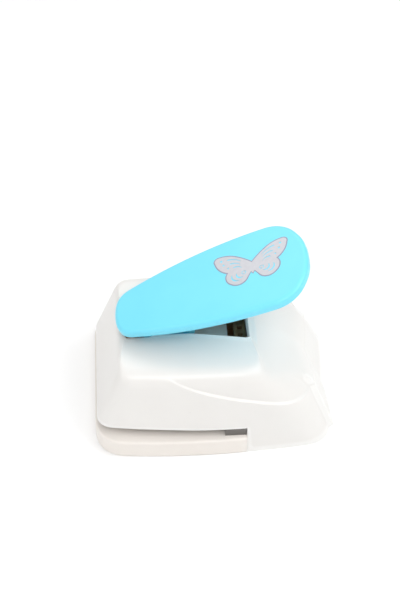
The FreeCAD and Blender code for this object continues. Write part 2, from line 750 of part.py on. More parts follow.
def stop_bridge():
    """The steel bar over the ram's right-hand end: the ram's screw heads rise against it."""
    body = new_body("stop_bridge")
    rows = [("-3.5", "-7.5", None), ("bridge_right", "-7.5", None), ("bridge_right", "7.5", None),
            ("-3.5", "7.5", "7.9")]
    pad(body, trace(new_sketch(body, "XY_Plane", "bridge_level"), rows), "sheet")
    for side in (-1, 1):
        band = sorted([f"{side} * 7.4", f"{side} * 21"], key=value)
        wing = rectangle(new_sketch(body, "XY_Plane", "bridge_level"), "1.6", band[0],
                         "bridge_right", band[1])
        pad(body, wing, "sheet")
    round_holes(body, BRIDGE_SCREWS, "bridge_level + sheet", "screw_radius + screw_clearance",
                "sheet")


def rear_bracket():
    """The passivated stand at the throat that carries the stop bridge."""
    body = new_body("rear_bracket")
    foot = rectangle(new_sketch(body, "XY_Plane", "guide_top"), "3.6", "-21", "stand_right", "21")
    pad(body, foot, "sheet")
    for side in (-1, 1):
        leg = sorted([f"{side} * 21", f"{side} * (21 - sheet)"], key=value)
        wall = rectangle(new_sketch(body, "XY_Plane", "guide_top"), "3.6", leg[0], "stand_right",
                         leg[1])
        pad(body, wall, "bridge_level - guide_top")
        band = sorted([f"{side} * 21", f"{side} * 15.5"], key=value)
        tab = rectangle(new_sketch(body, "XY_Plane", "bridge_level - sheet"), "2.6", band[0],
                        "stand_right", band[1])
        pad(body, tab, "sheet")
    bar = rectangle(new_sketch(body, "XY_Plane", "bridge_level - sheet"), "stand_right - 5.2",
                    "-21", "stand_right", "21")
    pad(body, bar, "sheet")
    for middle in ("-7.4", "-2.6", "2.6", "7.4"):
        slot = rectangle(new_sketch(body, "XY_Plane", "bridge_level"), "stand_right - 3.6",
                         f"{middle} - 1.2", "stand_right - 1.4", f"{middle} + 1.2")
        pocket(body, slot, "sheet")
    clear = "screw_radius + screw_clearance"
    round_holes(body, BRIDGE_SCREWS, "bridge_level", "screw_radius + 0.02", "sheet")
    inner = [p for p in THROAT_SCREWS if abs(value(p[1])) < value("die_half")]
    round_holes(body, inner, "guide_top + sheet", clear, "sheet")


BRIDGE_SCREWS = [("bridge_right - 2.5", "-18"), ("bridge_right - 2.5", "18")]


def bridge_screws():
    group("bridge_screws", [
        screw(f"bridge_screw_{i}", x, y, "bridge_level + sheet + head_height",
              "bridge_level - sheet - 0.8") for i, (x, y) in enumerate(BRIDGE_SCREWS)])


def pivot_pin():
    pin = rod("pivot_pin", "pivot_x", "-pin_half", "pivot_z", "pin_radius", "2 * pin_half")
    subpart(pin, "pivot_pin")
    clips = []
    for side in (-1, 1):
        start = f"{side} * (lug_inner + sheet + 0.25) - 0.2"
        disc = rod(f"clip_disc_{side + 1}", "pivot_x", start, "pivot_z", "pin_radius + 1", "0.4")
        bore = rod(f"clip_bore_{side + 1}", "pivot_x", f"{start} - 1", "pivot_z",
                   "pin_radius + 0.01", "3")
        slit = box(f"clip_slit_{side + 1}", ("pivot_x - 0.8", f"{start} - 1", "pivot_z - 4"),
                   ("pivot_x + 0.8", f"{start} + 2", "pivot_z"))
        clips.append(cut(f"clip_{side + 1}", disc, [bore, slit]))
    group("pin_clips", clips)


# ---------------------------------------------------------------- lever

def tilt(body):
    """Set a body drawn along the lever's own axes at the pivot, at its rest angle."""
    body.setExpression(".Placement.Base.x", bound("pivot_x"))
    body.setExpression(".Placement.Base.z", bound("pivot_z"))
    body.Placement = FreeCAD.Placement(
        body.Placement.Base, FreeCAD.Rotation(vec(0, 1, 0), -value("lever_rest")))


def cap_outline(body, level, inset):
    rows = [
        ("cap_heel_x", f"-(cap_heel - {inset})", "cap_side_radius"),
        ("cap_wide_x", f"-(cap_wide - {inset})", "cap_corner_radius"),
        (f"cap_tip_x - {inset}", "-cap_tip", "cap_end_radius"),
        (f"cap_tip_x - {inset}", "cap_tip", "cap_corner_radius"),
        ("cap_wide_x", f"cap_wide - {inset}", "cap_side_radius"),
        ("cap_heel_x", f"cap_heel - {inset}", f"cap_heel_radius - {inset}"),
    ]
    return trace(new_sketch(body, "XY_Plane", level), rows)


def lever_cap():
    """The moulded lever: a shallow shell, the stem that presses the ram, and the pivot hub."""
    body = new_body("lever_cap")
    pad(body, cap_outline(body, "cap_top - cap_depth", "0"), "cap_depth")
    round_edges(body, lambda e: e.BoundBox.ZMin > value("cap_top") - 0.01, "cap_edge_round")
    pocket(body, cap_outline(body, "cap_top - cap_depth", "cap_wall"), "cap_depth - cap_wall",
           back=True)
    lean = math.radians(value("lever_rest"))
    start = math.radians(value("lever_stroke / 2")) - lean
    arm, reach = value("nose_arm"), nose_radius()
    centre = vec(arm * math.cos(start), arm * math.sin(start))

    def nose(degrees):
        angle = math.radians(degrees)
        return vec(centre.x + reach * math.sin(angle), centre.y - reach * math.cos(angle))

    outline = [
        (vec(1.5, 5.8), None), (vec(0.5, -2.2), None), (nose(-30), nose(-8)),
        (nose(14), None), (vec(23.8, -14.2), None), (vec(27.5, 5.8), None),
    ]
    sketch = new_sketch(body, "XZ_Plane")
    close_chain(sketch, outline)
    pad(body, sketch, "2 * stem_half", both=True)
    panel = [(vec(4.5, 3.5), None), (vec(4.0, -2.5), None), (nose(-22) + vec(0, 2.6), None),
             (nose(10) + vec(0, 2.6), None), (vec(21.0, -13.0), None), (vec(24.8, 3.5), None)]
    for side in (-1, 1):
        recess = new_sketch(body, "XZ_Plane", f"{side} * stem_half")
        close_chain(recess, panel)
        pocket(body, recess, "stem_half - stem_web", back=side < 0)
    hub = circle(new_sketch(body, "XZ_Plane"), "0", "0", "hub_radius")
    pad(body, hub, "2 * hub_half", both=True)
    bore = circle(new_sketch(body, "XZ_Plane"), "0", "0", "pin_radius + pin_clearance")
    pocket(body, bore, "4 * hub_half", both=True)
    for half in ("8", "13"):
        for side in (-1, 1):
            edges = sorted([f"{side} * {half}", f"{side} * ({half} + 1.4)"], key=value)
            rib = rectangle(new_sketch(body, "XY_Plane", "cap_top - cap_depth + 0.8"),
                            "12" if half == "8" else "30", edges[0], "76", edges[1])
            pad(body, rib, "cap_depth - 1.4")
    tilt(body)


def nose_radius():
    """From the nose's centre, level with its arm at rest, down to just above the ram's pad."""
    lift = value("nose_arm") * math.sin(math.radians(value("lever_stroke / 2")))
    return value("pivot_z") + lift - value("pad_top") - value("nose_gap")


def lever_motif():
    """The thin metallic butterfly on the lever's top."""
    body = new_body("lever_motif")
    scale = value("mark_scale")
    centre = vec(value("mark_x"), value("mark_y"))
    sketch = motif_outline(new_sketch(body, "XY_Plane", "cap_top"), scale, centre)
    pad(body, sketch, "mark_thick")
    details = motif_details(new_sketch(body, "XY_Plane", "cap_top + mark_thick"), scale, centre)
    pocket(body, details, "mark_thick")
    tilt(body)


for make in (upper_housing, base_tray, die_plate, guide_plate, throat_block, throat_screws,
             die_screws, housing_screws, punch_block, ram_plate, press_pad, ram_screws,
             guide_posts, return_springs, stop_bridge, rear_bracket, bridge_screws, rivets,
             pivot_pin, lever_cap, lever_motif):
    make()
pivot_bracket("pivot_bracket_front", -1)
pivot_bracket("pivot_bracket_back", 1)
DOC.recompute()

os.makedirs("parts", exist_ok=True)
for node in NODES:
    if "Invalid" in node.State or "Error" in node.State:
        raise RuntimeError(f"{node.Label} failed: {node.State}")
    if node.Shape.isNull() or not node.Shape.isValid():
        raise RuntimeError(f"{node.Label} has no valid shape")
    low = node.Shape.optimalBoundingBox()
    print(node.Label, len(node.Shape.Solids), round(node.Shape.Volume, 1), low)
for node in NODES:
    node.Shape.exportStep(f"parts/{node.Label}.step")
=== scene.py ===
"""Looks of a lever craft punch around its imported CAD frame. Lengths are in mm until a mesh is made."""
import math

import bmesh
import bpy
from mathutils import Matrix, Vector
from mathutils.geometry import tessellate_polygon


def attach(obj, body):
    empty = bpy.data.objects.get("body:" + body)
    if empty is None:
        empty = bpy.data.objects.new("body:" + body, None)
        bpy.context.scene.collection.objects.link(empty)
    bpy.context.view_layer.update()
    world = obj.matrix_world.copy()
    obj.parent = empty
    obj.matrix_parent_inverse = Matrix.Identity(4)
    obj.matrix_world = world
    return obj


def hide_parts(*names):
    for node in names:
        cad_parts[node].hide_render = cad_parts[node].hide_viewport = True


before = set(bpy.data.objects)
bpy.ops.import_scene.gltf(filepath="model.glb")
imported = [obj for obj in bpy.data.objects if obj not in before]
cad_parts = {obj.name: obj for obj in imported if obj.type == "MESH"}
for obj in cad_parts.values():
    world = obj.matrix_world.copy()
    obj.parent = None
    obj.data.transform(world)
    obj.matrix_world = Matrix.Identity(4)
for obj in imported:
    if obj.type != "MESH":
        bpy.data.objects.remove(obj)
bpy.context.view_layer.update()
MM = 0.001

# ---------------------------------------------------------------- sizes, in mm

WALL = 2.4               # of the housing
SEAM_X = 13.0            # where the paper slot ends
SLOT_TOP = 13.9          # lower edge of the housing over the slot
SHOULDER_Z = 27.0
TOP_Z = 39.0             # level of the upper outline; the walls run on to the plateau
PLATEAU = 43.0
CORNER = 7.0
# left, half width at the left, turn start, half width there, cheek x, cheek half width, side bow, end bow
LEVELS = {
    0.0: (57.3, 34.5, 40.0, 37.4, 50.96, 27.0, 3.4, 2.03),
    SHOULDER_Z: (47.1, 32.6, 20.0, 34.6, 39.5, 20.0, 1.0, 2.2),
    TOP_Z: (42.5, 31.7, 11.0, 32.6, 22.0, 26.0, 0.39, 0.38),
}
SHOULDER_BLEND = 5.0     # half the height over which the walls turn at the shoulder
# The styling line that falls along both sides, as x and height
SWOOSH = [(-30.0, 46.5), (-20.0, 41.0), (-9.0, 36.0), (4.0, 31.6), (18.0, 28.2), (33.0, 24.6),
          (54.0, 20.5)]
SWOOSH_STEP = 1.15       # how far the skirt below the line stands out
SWOOSH_GROWS = (-28.0, -4.0)     # x over which the step comes up
SWOOSH_FADES = (34.0, 47.0)      # x over which it dies away
SWOOSH_CEILING = (40.5, 42.8)    # height over which it runs out into the plateau
SWOOSH_LEDGE = (-0.5, 0.4)       # height of the ledge, about the line
# The well starts a little right of the CAD's, so that the lever's heel covers its left end
WELL_LEFT, WELL_RIGHT = -38.3, 15.8
WELL_HALF = [(WELL_LEFT, 7.5), (-28.0, 7.5), (-25.0, 6.4), (-10.0, 6.4), (WELL_RIGHT, 10.5)]
WELL_CORNER = 1.2
WELL_MIDDLE = -2.0       # where the columns over the slot end along the well
WELL_TUCK = 0.4          # how much narrower the well's right edge is than its mouth
DISH = 0.45              # how deep the plateau dips along its middle
DISH_HALF = (14.0, 31.0)         # half widths over which it comes up again
FALL, FALL_START = 0.006, 9.0    # the plateau's falling curve towards the slope, and where it starts

PIVOT = Vector((-35.0, 0.0, 45.2))
LEVER_REST = math.radians(22.0)
CAP_TOP, CAP_DEPTH, CAP_WALL = 7.2, 4.2, 1.6         # top over the pivot, skirt, wall
CAP_ROUND, CAP_DROP = 2.0, 1.7                       # reach and drop of the rolled rim
CAP_CROWN = 0.1                                      # fall of the top towards the sides, which are
CAP_NARROW, CAP_BROAD, CAP_SPREAD = 14.0, 22.5, 62.0     # so far out at the pivot and at u = 62
CAP_FALL, CAP_MIDDLE, CAP_LONG = 0.25, 40.0, 42.0    # fall of the top towards both ends
STEM_HALF, STEM_WEB, STEM_RECESS = 4.4, 1.5, 2.4     # half widths, border of the panels
HUB, HUB_HALF, PIN_BORE = 2.9, 5.0, 1.66             # radius, half width, radius of the bore
# Ribs, as start along the lever and distance from its middle; their end and half width
RIBS, RIB_END, RIB_HALF = [(12.0, 8.7), (30.0, 13.7)], 76.0, 0.7
# The nose that bears on the pad: its arc's centre, as arm and angle about the pivot, and radius
NOSE_ARM, NOSE_RADIUS, NOSE_ANGLE = 14.5, 16.47, math.radians(-10.0)
MARK_AT, MARK_SCALE = Vector((58.9, 1.5)), 0.7       # along and across the lever
MARK_LOW, FOIL_HIGH, LINE_HIGH = -0.05, 0.14, 0.10   # heights about the lever's top
# Bosses for the housing screws, as x, y on the +y side and lower end
POSTS = [(26.0, 29.5, 9.65), (37.5, 18.5, 9.65), (-8.0, 25.5, 14.2)]
BOSS_BORE, BOSS_RADIUS, BOSS_TOP = 1.4, 4.0, 21.5

# Half of the butterfly: corner and the point its arc passes through on the way to the next one
WING = [((0.0, 3.5), (4.9, 8.3)), ((9.6, 12.0), (15.3, 14.8)), ((21.0, 15.6), (22.9, 14.4)),
        ((23.0, 11.6), (20.6, 5.4)), ((15.4, 0.7), (16.9, -4.4)), ((14.1, -9.2), (9.4, -11.2)),
        ((4.6, -8.8), None), ((1.2, -3.6), None), ((0.0, -5.5), None)]
WING_SLOTS = [((6.7, 7.3), (15.3, 11.7)), ((7.2, 4.7), (13.8, 7.6)), ((6.7, 1.7), (12.0, 3.7))]
WING_DOTS = [(19.1, 12.1, 0.8), (17.9, 8.3, 0.7), (15.2, 4.5, 0.6)]
WING_RING = Vector((5.7, -2.9))
RING_HOLE, RING_EYE = 1.5, 1.05
WING_CURLS = [((10.1, -1.9), (10.0, -4.9), (6.3, -5.8)), ((13.2, -2.2), (12.8, -6.4), (9.0, -8.1))]
VEIN_BOW, VEIN_THIN, VEIN_THICK = 0.9, 0.16, 0.5
CURL_THIN, CURL_SWELL = 0.15, 0.38
LINE_WIDTH = 0.75


# ---------------------------------------------------------------- small maths

def lerp(a, b, t):
    return a + (b - a) * t


def clamp(t):
    return max(0.0, min(1.0, t))


def smooth(low, high, x):
    t = clamp((x - low) / (high - low))
    return t * t * (3 - 2 * t)


def along(points, x):
    """Height at x of a smooth curve through points, by monotone Hermite spans."""
    if x <= points[0][0]:
        return points[0][1]
    if x >= points[-1][0]:
        return points[-1][1]
    slopes = [(b[1] - a[1]) / (b[0] - a[0]) for a, b in zip(points, points[1:])]
    tangents = [slopes[0]] + [(p + q) / 2 for p, q in zip(slopes, slopes[1:])] + [slopes[-1]]
    for i, (a, b) in enumerate(zip(points, points[1:])):
        if x <= b[0]:
            w = b[0] - a[0]
            t = (x - a[0]) / w
            return ((2 * t ** 3 - 3 * t ** 2 + 1) * a[1] + (t ** 3 - 2 * t ** 2 + t) * w * tangents[i]
                    + (3 * t ** 2 - 2 * t ** 3) * b[1] + (t ** 3 - t ** 2) * w * tangents[i + 1])
    return points[-1][1]


def bezier(p0, p1, p2, p3, t):
    s = 1 - t
    return p0 * s ** 3 + p1 * 3 * s * s * t + p2 * 3 * s * t * t + p3 * t ** 3


def arc_points(start, via, end, count):
    """Points from start to just before end on the arc through via."""
    a, b, c = start, via, end
    d = 2 * (a.x * (b.y - c.y) + b.x * (c.y - a.y) + c.x * (a.y - b.y))
    ux = (a.length_squared * (b.y - c.y) + b.length_squared * (c.y - a.y)
          + c.length_squared * (a.y - b.y)) / d
    uy = (a.length_squared * (c.x - b.x) + b.length_squared * (a.x - c.x)
          + c.length_squared * (b.x - a.x)) / d
    centre = Vector((ux, uy))
    first = math.atan2(a.y - uy, a.x - ux)
    turn = (math.atan2(c.y - uy, c.x - ux) - first) % (2 * math.pi)
    passed = (math.atan2(b.y - uy, b.x - ux) - first) % (2 * math.pi)
    if passed > turn:
        turn -= 2 * math.pi
    radius = (a - centre).length
    return [centre + radius * Vector((math.cos(first + turn * i / count),
                                      math.sin(first + turn * i / count))) for i in range(count)]


def circle(x, y, radius, count):
    return [Vector((x + radius * math.cos(2 * math.pi * k / count),
                    y + radius * math.sin(2 * math.pi * k / count))) for k in range(count)]


# ---------------------------------------------------------------- mesh helpers

def new_object(name, verts, faces, material):
    mesh = bpy.data.meshes.new(name)
    mesh.from_pydata([Vector(v) * MM for v in verts], [], faces)
    mesh.materials.append(material)
    obj = bpy.data.objects.new(name, mesh)
    bpy.context.scene.collection.objects.link(obj)
    return obj


def clean(obj, merge=0.01):
    """Merge coincident points, drop faces with no area and turn all normals outwards."""
    bm = bmesh.new()
    bm.from_mesh(obj.data)
    bmesh.ops.delete(bm, geom=[v for v in bm.verts if not v.link_faces], context="VERTS")
    bmesh.ops.remove_doubles(bm, verts=bm.verts, dist=merge * MM)
    bmesh.ops.dissolve_degenerate(bm, edges=bm.edges, dist=1e-7)
    bmesh.ops.recalc_face_normals(bm, faces=bm.faces)
    bm.to_mesh(obj.data)
    bm.free()


def modify(obj, kind, **settings):
    modifier = obj.modifiers.new(kind.title(), kind)
    for key, value in settings.items():
        setattr(modifier, key, value)


def apply_all(obj, sharp=35.0):
    """Keep the modified mesh as the object's own, smooth apart from edges sharper than sharp degrees."""
    graph = bpy.context.evaluated_depsgraph_get()
    mesh = bpy.data.meshes.new_from_object(obj.evaluated_get(graph))
    obj.modifiers.clear()
    old = obj.data
    obj.data = mesh
    mesh.name = old.name
    mesh.polygons.foreach_set("use_smooth", [True] * len(mesh.polygons))
    mesh.set_sharp_from_angle(angle=math.radians(sharp))


def bevelled(obj, width, angle=40.0, sharp=35.0):
    """Round the edges sharper than angle degrees and keep the result."""
    modify(obj, "BEVEL", width=width * MM, segments=3, limit_method="ANGLE",
           angle_limit=math.radians(angle), use_clamp_overlap=True)
    modify(obj, "WEIGHTED_NORMAL", keep_sharp=True)
    apply_all(obj, sharp)


def grid(rings):
    """Points and quads of a skin through closed rings of the same length."""
    faces, n = [], len(rings[0])
    for j in range(len(rings) - 1):
        for i in range(n):
            k = (i + 1) % n
            faces.append((j * n + i, j * n + k, (j + 1) * n + k, (j + 1) * n + i))
    return [p for ring in rings for p in ring], faces


def join(objects, name):
    """One object from several, with its own mesh."""
    bm = bmesh.new()
    for obj in objects:
        bm.from_mesh(obj.data)
    mesh = objects[0].data
    bm.to_mesh(mesh)
    bm.free()
    for obj in objects[1:]:
        bpy.data.objects.remove(obj)
    objects[0].name = name
    mesh.name = name
    mesh.polygons.foreach_set("use_smooth", [True] * len(mesh.polygons))
    mesh.set_sharp_from_angle(angle=math.radians(35))
    return objects[0]


# ---------------------------------------------------------------- materials

def shade(name, colour, roughness, metallic=0.0, **extra):
    """A Principled material, its node tree and its shader."""
    material = bpy.data.materials.new(name)
    material.use_nodes = True
    tree = material.node_tree
    shader = tree.nodes["Principled BSDF"]
    shader.inputs["Base Color"].default_value = (*colour, 1)
    shader.inputs["Roughness"].default_value = roughness
    shader.inputs["Metallic"].default_value = metallic
    for key, value in extra.items():
        shader.inputs[key.replace("_", " ")].default_value = value
    return material, tree, shader


def node(tree, kind, **inputs):
    made = tree.nodes.new(kind)
    for key, value in inputs.items():
        made.inputs[key].default_value = value
    return made


def coordinates(tree, stretch):
    place = tree.nodes.new("ShaderNodeTexCoord")
    mapping = node(tree, "ShaderNodeMapping", Scale=stretch)
    tree.links.new(place.outputs["Object"], mapping.inputs["Vector"])
    return mapping.outputs["Vector"]


def noise(tree, vector, scale, detail=4.0, roughness=0.55):
    made = node(tree, "ShaderNodeTexNoise", Scale=scale, Detail=detail, Roughness=roughness)
    tree.links.new(vector, made.inputs["Vector"])
    return made.outputs["Fac"]


def ramp(tree, factor, stops):
    made = tree.nodes.new("ShaderNodeValToRGB")
    elements = made.color_ramp.elements
    for index, (position, colour) in enumerate(stops):
        element = elements[index] if index < 2 else elements.new(position)
        element.position = position
        element.color = (*colour, 1)
    tree.links.new(factor, made.inputs["Fac"])
    return made.outputs["Color"]


def spread(tree, factor, low, high):
    made = node(tree, "ShaderNodeMapRange")
    made.inputs["To Min"].default_value = low
    made.inputs["To Max"].default_value = high
    tree.links.new(factor, made.inputs["Value"])
    return made.outputs["Result"]


def bump(tree, shader, height, distance, strength):
    made = node(tree, "ShaderNodeBump", Distance=distance, Strength=strength)
    tree.links.new(height, made.inputs["Height"])
    tree.links.new(made.outputs["Normal"], shader.inputs["Normal"])


def edge_wear(tree, colour, worn):
    """Blend towards a worn colour on convex edges."""
    low, high = 0.54, 0.62
    geometry = tree.nodes.new("ShaderNodeNewGeometry")
    mask = node(tree, "ShaderNodeMapRange")
    mask.inputs["From Min"].default_value = low
    mask.inputs["From Max"].default_value = high
    tree.links.new(geometry.outputs["Pointiness"], mask.inputs["Value"])
    mix = tree.nodes.new("ShaderNodeMix")
    mix.data_type = "RGBA"
    tree.links.new(mask.outputs["Result"], mix.inputs["Factor"])
    tree.links.new(colour, mix.inputs[6])
    mix.inputs[7].default_value = (*worn, 1)
    return mix.outputs[2]


def plastic(name, light, dark, worn, roughness):
    """Moulded gloss plastic: a faint cloudiness, a fine moulded skin and rubbed edges."""
    material, tree, shader = shade(name, light, roughness, IOR=1.5)
    place = coordinates(tree, (1, 1, 1))
    tint = ramp(tree, noise(tree, place, 38, 3), [(0.3, dark), (0.7, light)])
    tree.links.new(edge_wear(tree, tint, worn), shader.inputs["Base Color"])
    rough = spread(tree, noise(tree, place, 240, 5), roughness - 0.06, roughness + 0.08)
    tree.links.new(rough, shader.inputs["Roughness"])
    bump(tree, shader, noise(tree, place, 1500, 2), 0.00002, 0.5)
    return material


def brushed(name, light, dark, roughness, stretch, metallic=1.0, worn=None):
    """Rolled or ground metal: fine lines one way, patchy tone, brighter rubbed edges."""
    material, tree, shader = shade(name, light, roughness, metallic)
    lines = noise(tree, coordinates(tree, stretch), 900, 3)
    patches = noise(tree, coordinates(tree, (1, 1, 1)), 90, 4)
    total = tree.nodes.new("ShaderNodeMath")
    total.operation = "ADD"
    tree.links.new(lines, total.inputs[0])
    tree.links.new(patches, total.inputs[1])
    mean = tree.nodes.new("ShaderNodeMath")
    mean.operation = "MULTIPLY"
    mean.inputs[1].default_value = 0.5
    tree.links.new(total.outputs[0], mean.inputs[0])
    tint = ramp(tree, mean.outputs[0], [(0.35, dark), (0.65, light)])
    tree.links.new(edge_wear(tree, tint, worn or light), shader.inputs["Base Color"])
    tree.links.new(spread(tree, patches, roughness - 0.1, roughness + 0.12),
                   shader.inputs["Roughness"])
    bump(tree, shader, lines, 0.00001, 0.5)
    return material


def passivated(name):
    """Zinc-passivated sheet: brown-gold with darker patches."""
    material, tree, shader = shade(name, (0.2, 0.11, 0.06), 0.5, 0.55)
    place = coordinates(tree, (1, 1, 1))
    tint = ramp(tree, noise(tree, place, 130, 6, 0.65),
                [(0.3, (0.16, 0.085, 0.045)), (0.55, (0.42, 0.25, 0.13)), (0.75, (0.54, 0.36, 0.2))])
    tree.links.new(edge_wear(tree, tint, (0.42, 0.3, 0.18)), shader.inputs["Base Color"])
    tree.links.new(spread(tree, noise(tree, place, 420, 3), 0.36, 0.62), shader.inputs["Roughness"])
    bump(tree, shader, noise(tree, place, 1100, 3), 0.00002, 0.5)
    return material


def foil(name, light, dark, roughness, metallic):
    """Hot-stamped foil: even and bright, with a faint grain."""
    material, tree, shader = shade(name, light, roughness, metallic)
    place = coordinates(tree, (1, 1, 1))
    tint = ramp(tree, noise(tree, place, 520, 4), [(0.3, dark), (0.7, light)])
    tree.links.new(tint, shader.inputs["Base Color"])
    tree.links.new(spread(tree, noise(tree, place, 260, 3), roughness - 0.06, roughness + 0.1),
                   shader.inputs["Roughness"])
    bump(tree, shader, noise(tree, place, 1800, 2), 0.00001, 0.4)
    return material


WHITE = plastic("white_shell", (0.80, 0.785, 0.76), (0.785, 0.765, 0.74), (0.84, 0.83, 0.81), 0.3)
CREAM = plastic("warm_white_shell", (0.83, 0.785, 0.735), (0.815, 0.765, 0.715),
                (0.83, 0.79, 0.75), 0.36)
TURQUOISE = plastic("turquoise_plastic", (0.20, 0.745, 0.93), (0.185, 0.72, 0.915),
                    (0.34, 0.83, 0.96), 0.3)
SILVER = foil("silver_foil", (0.63, 0.63, 0.665), (0.59, 0.59, 0.63), 0.42, 0.35)
OUTLINE = foil("lilac_outline", (0.35, 0.36, 0.46), (0.31, 0.32, 0.42), 0.5, 0.2)
ZINC = brushed("zinc_steel", (0.66, 0.62, 0.58), (0.54, 0.51, 0.48), 0.45, (1, 12, 1), 0.55)
GROUND = brushed("ground_steel", (0.52, 0.52, 0.53), (0.40, 0.40, 0.41), 0.34, (12, 1, 1),
                 worn=(0.62, 0.62, 0.62))
DARK = brushed("dark_steel", (0.055, 0.052, 0.05), (0.03, 0.028, 0.027), 0.45, (1, 1, 10), 0.5,
               worn=(0.2, 0.19, 0.18))
BRIGHT = brushed("bright_steel", (0.62, 0.62, 0.63), (0.52, 0.52, 0.53), 0.24, (1, 1, 8))
BROWN = passivated("passivated_steel")
SCREW = brushed("blackened_fastener", (0.23, 0.23, 0.24), (0.15, 0.15, 0.16), 0.4, (1, 1, 1), 0.9,
                worn=(0.42, 0.42, 0.42))


# ---------------------------------------------------------------- housing

def level_sizes(z):
    """The outline's sizes at height z: straight walls, with a soft turn at the shoulder."""
    low, mid, top = (LEVELS[key] for key in (0.0, SHOULDER_Z, TOP_Z))

    def straight(height):
        if height <= SHOULDER_Z:
            return [lerp(a, b, height / SHOULDER_Z) for a, b in zip(low, mid)]
        t = (height - SHOULDER_Z) / (TOP_Z - SHOULDER_Z)
        return [lerp(a, b, t) for a, b in zip(mid, top)]

    if abs(z - SHOULDER_Z) >= SHOULDER_BLEND:
        return straight(z)
    start, middle, end = (straight(SHOULDER_Z + k * SHOULDER_BLEND) for k in (-1, 0, 1))
    t = (z - SHOULDER_Z + SHOULDER_BLEND) / (2 * SHOULDER_BLEND)
    return [a * (1 - t) ** 2 + 2 * b * t * (1 - t) + c * t * t
            for a, b, c in zip(start, middle, end)]


# Columns of the skin in each stretch of half the outline
COUNTS = {"left": 8, "corner": 9, "slot": 34, "side": 16, "turn": 18, "end": 12}
SLOT_ROWS = 7            # rows of the skin up to the slot's upper edge
SPAN_ROWS = 35           # rows on each side of the styling line
LINE_ROWS = (-0.62, -0.4, -0.2, 0.0, 0.2, 0.4, 0.62)     # rows across the line, as distances from it
LINE_CLEAR = 0.9         # how far from the line the next rows are
LINE_DEPTH = 1.6         # the line's rows stay this far under the plateau
LOWEST_STEP = 12         # and at least this many fine steps over the slot's upper edge
WALL_STEPS, TOP_STEPS = 120, 160
WALL_WEIGHT, ROUND_WEIGHT, FLAT_WEIGHT = 1.0, 2.2, 0.7   # how densely rows lie on each part
SEAM_TOP_X, SEAM_RISE = -6.0, (16.0, 40.0)       # where the slot's columns end above the slot
CORNER_HANDLE, TURN_HANDLE = 0.56, 0.6           # shares of a corner that its curve's handles take


def columns():
    """Half the outline's columns as (stretch, fraction), from the left end's middle to the right's."""
    made = []
    for name, count in COUNTS.items():
        made += [(name, i / count) for i in range(count)]
    return made + [("end", 1.0)]


def seam_x(z):
    """X of the column that lies on the slot's end low down and moves left above it."""
    return lerp(SEAM_X, SEAM_TOP_X, smooth(*SEAM_RISE, z))


def side_y(x, sizes):
    """Half width of the bowed side wall at x."""
    left, corner, turn_x, side, _, _, bow, _ = sizes
    start = -left + CORNER
    t = (x - start) / (turn_x - start)
    return lerp(corner, side, t) + 4 * bow * t * (1 - t)


def side_tangent(sizes, t):
    """Direction of the side wall in plan, from 0 at the left corner to 1 at the turn."""
    left, corner, turn_x, side, _, _, bow, _ = sizes
    return Vector((turn_x + left - CORNER, side - corner + 4 * bow * (1 - 2 * t))).normalized()


def outline_point(column, z):
    """A point on the outline's half at height z, before the styling line."""
    name, t = column
    sizes = level_sizes(z)
    left, corner, turn_x, side, cheek_x, cheek, _, end_bow = sizes
    start = -left + CORNER
    if name == "left":
        return Vector((-left, t * (corner - CORNER)))
    if name == "corner":
        first, last = Vector((-left, corner - CORNER)), Vector((start, corner))
        handle = CORNER_HANDLE * CORNER
        return bezier(first, first + Vector((0, handle)), last - side_tangent(sizes, 0) * handle,
                      last, t)
    if name in ("slot", "side"):
        split = seam_x(z)
        x = lerp(start, split, t) if name == "slot" else lerp(split, turn_x, t)
        return Vector((x, side_y(x, sizes)))
    if name == "turn":
        first, last = Vector((turn_x, side)), Vector((cheek_x, cheek))
        down = Vector((4 * end_bow / (2 * cheek), -1)).normalized()
        return bezier(first, first + side_tangent(sizes, 1) * TURN_HANDLE * (cheek_x - turn_x),
                      last - down * TURN_HANDLE * (side - cheek), last, t)
    s = 0.5 + t / 2
    return Vector((cheek_x + 4 * end_bow * s * (1 - s), cheek * (1 - t)))


def outward(index, cols, z):
    """The outline's plan normal at a column."""
    if index == 0:
        return Vector((-1, 0))
    if index == len(cols) - 1:
        return Vector((1, 0))
    run = outline_point(cols[index + 1], z) - outline_point(cols[index - 1], z)
    return Vector((-run.y, run.x)).normalized()


def proud(x, z):
    """How far the skirt under the styling line stands out at x and height z."""
    line = along(SWOOSH, x)
    reach = SWOOSH_STEP * smooth(*SWOOSH_GROWS, x) * (1 - smooth(*SWOOSH_FADES, x))
    fade = clamp(z / line) * (1 - smooth(*SWOOSH_CEILING, z))
    return reach * fade * (1 - smooth(*SWOOSH_LEDGE, z - line))


def wall_point(index, cols, z):
    """A point on the wall with the styling line's step."""
    base = outline_point(cols[index], z)
    return base + outward(index, cols, z) * proud(base.x, z)


def edge_reach(column):
    """How far the plateau's rounding runs along the wall and the top."""
    name, t = column
    return {"left": 3.6, "corner": lerp(3.6, 7.0, t), "slot": 7.0, "side": lerp(7.0, 6.5, t),
            "turn": lerp(6.5, 5.0, t), "end": 5.0}[name]


